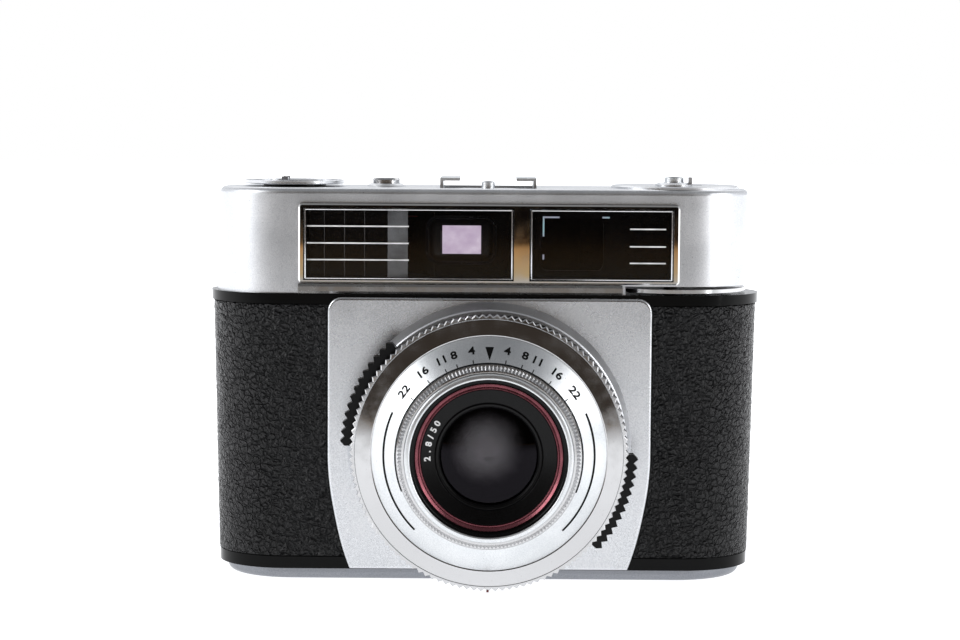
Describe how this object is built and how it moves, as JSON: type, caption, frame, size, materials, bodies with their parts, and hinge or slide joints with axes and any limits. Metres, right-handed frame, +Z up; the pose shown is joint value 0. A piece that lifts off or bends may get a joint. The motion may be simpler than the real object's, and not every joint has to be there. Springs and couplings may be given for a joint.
{
  "type": "film camera",
  "caption": "Compact 35 mm film camera: satin chrome top cover with a double window, leather-clad body, hinged back and a between-lens shutter with turning rings.",
  "frame": {"origin": "mouth of the tripod socket, on the plane the camera stands on, below the lens axis and at the body's mid-depth", "axes": "+X to the right as seen from the front, +Y from the lens towards the back door, +Z up"},
  "size_m": [0.1226, 0.0643, 0.0893],
  "materials": {
    "black_casting": "black gloss enamel on a die casting",
    "leatherette": "creased black leatherette",
    "chrome": "polished chrome plate",
    "satin_chrome": "satin chrome plate",
    "steel": "turned steel",
    "spring_steel": "blued spring steel",
    "black_plate": "black anodised",
    "aluminium": "satin",
    "black_plastic": "matt moulded",
    "glass": "clear pane",
    "coated_glass": "coated lens glass",
    "mirror": "front-silvered",
    "meter_cell": "dark ribbed cell",
    "needle_red": "painted",
    "counter_white": "white enamel with numbers",
    "red_anodised": "dark red anodised",
    "blade_steel": "dark blued blades"
  },
  "bodies": {
    "body": {"body_casting": "black_casting", "leather_left": "leatherette", "leather_right": "leatherette", "hinge_pin": "steel", "base_plate": "satin_chrome", "tripod_bush": "steel", "base_screws": "steel", "front_plate": "satin_chrome", "front_trim": "chrome", "top_cover": "satin_chrome", "window_bezel": "chrome", "meter_window": "glass", "frame_window": "glass", "finder_housing": "black_plastic", "meter_cell": "meter_cell", "meter_movement": "aluminium", "finder_objective": "coated_glass", "frame_mask": "black_plastic", "finder_mirrors": "mirror", "eyepiece_frame": "black_plastic", "eyepiece_lens": "glass", "accessory_shoe": "chrome", "shoe_screws": "steel", "shoe_stop": "chrome", "counter_plate": "satin_chrome", "shutter_case": "black_plate", "lens_collar": "satin_chrome", "scale_face": "satin_chrome", "middle_element": "coated_glass", "rear_element": "coated_glass", "iris_blades": "blade_steel", "shutter_plate": "black_plate"},
    "back_door": {"back_door": "black_casting", "back_leather": "leatherette", "pressure_plate": "black_plate", "plate_springs": "spring_steel"},
    "back_latch": {"back_latch": "chrome"},
    "wind_lever": {"wind_shaft": "steel", "wind_lever": "chrome"},
    "sprocket": {"sprocket": "steel"},
    "take_up_spool": {"take_up_spool": "black_plastic"},
    "counter_dial": {"counter_dial": "counter_white"},
    "release_button": {"release_button": "chrome"},
    "rewind_collar": {"rewind_collar": "black_plastic"},
    "rewind_knob": {"rewind_shaft": "steel", "rewind_disc": "satin_chrome"},
    "rewind_crank": {"rewind_crank": "satin_chrome"},
    "unlock_button": {"unlock_button": "chrome"},
    "meter_needle": {"meter_needle": "needle_red"},
    "aperture_ring": {"aperture_ring": "black_plate", "grip_tabs": "black_plastic"},
    "speed_ring": {"speed_ring": "chrome"},
    "focus_ring": {"focus_ring": "satin_chrome"},
    "front_cell": {"filter_ring": "satin_chrome", "red_ring": "red_anodised", "name_ring": "black_plate", "front_element": "coated_glass"},
    "shutter_blade_1": {"shutter_blade_1": "blade_steel"},
    "shutter_blade_2": {"shutter_blade_2": "blade_steel"},
    "shutter_blade_3": {"shutter_blade_3": "blade_steel"}
  },
  "joints": [
    {"name": "back_door_hinge", "type": "hinge", "parent": "body", "child": "back_door", "pos_m": [0.0548, 0.008, 0.03085], "axis": [0, 0, -1], "range_deg": [0, 95]},
    {"name": "back_latch_slide", "type": "slide", "parent": "back_door", "child": "back_latch", "axis": [0, 0, 1], "range_m": [0, 0.005]},
    {"name": "wind_lever_turn", "type": "hinge", "parent": "body", "child": "wind_lever", "pos_m": [0.0412, 0, 0.0637], "axis": [0, 0, -1], "range_deg": [0, 140], "stiffness_Nm_per_rad": 0.0004},
    {"name": "sprocket_turn", "type": "hinge", "parent": "body", "child": "sprocket", "pos_m": [0.02574, 0.005, 0.03085], "axis": [0, 0, -1], "range_deg": [-365, 5]},
    {"name": "take_up_turn", "type": "hinge", "parent": "body", "child": "take_up_spool", "pos_m": [0.0412, 0, 0.03085], "axis": [0, 0, -1], "range_deg": [-5, 295]},
    {"name": "counter_turn", "type": "hinge", "parent": "body", "child": "counter_dial", "pos_m": [0.0412, 0, 0.0863], "axis": [0, 0, -1], "range_deg": [-1, 12]},
    {"name": "release_press", "type": "slide", "parent": "body", "child": "release_button", "axis": [0, 0, -1], "range_m": [0, 0.002], "stiffness_N_per_m": 400},
    {"name": "rewind_lift", "type": "slide", "parent": "body", "child": "rewind_collar", "axis": [0, 0, 1], "range_m": [0, 0.005]},
    {"name": "rewind_turn", "type": "hinge", "parent": "rewind_collar", "child": "rewind_knob", "pos_m": [-0.0439, 0, 0.0863], "axis": [0, 0, 1], "continuous": true},
    {"name": "crank_fold", "type": "hinge", "parent": "rewind_knob", "child": "rewind_crank", "pos_m": [-0.0459, 0, 0.08785], "axis": [0, -1, 0], "range_deg": [0, 180]},
    {"name": "unlock_press", "type": "slide", "parent": "body", "child": "unlock_button", "axis": [0, 0, -1], "range_m": [0, 0.0012], "stiffness_N_per_m": 400},
    {"name": "meter_needle_turn", "type": "hinge", "parent": "body", "child": "meter_needle", "pos_m": [-0.026, 0.0015, 0.0795], "axis": [0, 0, 1], "range_deg": [-30, 30]},
    {"name": "aperture_turn", "type": "hinge", "parent": "body", "child": "aperture_ring", "pos_m": [0, 0, 0.03085], "axis": [0, 1, 0], "range_deg": [-30, 30]},
    {"name": "speed_turn", "type": "hinge", "parent": "body", "child": "speed_ring", "pos_m": [0, 0, 0.03085], "axis": [0, 1, 0], "range_deg": [-60, 60]},
    {"name": "focus_turn", "type": "hinge", "parent": "body", "child": "focus_ring", "pos_m": [0, 0, 0.03085], "axis": [0, 1, 0], "range_deg": [0, 240]},
    {"name": "front_cell_travel", "type": "slide", "parent": "focus_ring", "child": "front_cell", "axis": [0, -1, 0], "range_m": [-0.0001, 0.0016]},
    {"name": "shutter_blade_1_swing", "type": "hinge", "parent": "body", "child": "shutter_blade_1", "pos_m": [0, -0.02725, 0.04585], "axis": [0, 1, 0], "range_deg": [0, 40]},
    {"name": "shutter_blade_2_swing", "type": "hinge", "parent": "body", "child": "shutter_blade_2", "pos_m": [-0.01299, -0.02725, 0.02335], "axis": [0, 1, 0], "range_deg": [-0.5, 40.5]},
    {"name": "shutter_blade_3_swing", "type": "hinge", "parent": "body", "child": "shutter_blade_3", "pos_m": [0.01299, -0.02725, 0.02335], "axis": [0, 1, 0], "range_deg": [-0.5, 40.5]}
  ],
  "couplings": [
    {"joint": "sprocket_turn", "follows": "wind_lever_turn", "ratio": -2.5714},
    {"joint": "take_up_turn", "follows": "wind_lever_turn", "ratio": 2.07},
    {"joint": "counter_turn", "follows": "wind_lever_turn", "ratio": 0.064286},
    {"joint": "front_cell_travel", "follows": "focus_turn", "m_per_rad": 0.0003581},
    {"joint": "shutter_blade_2_swing", "follows": "shutter_blade_1_swing", "ratio": 1},
    {"joint": "shutter_blade_3_swing", "follows": "shutter_blade_1_swing", "ratio": 1}
  ]
}
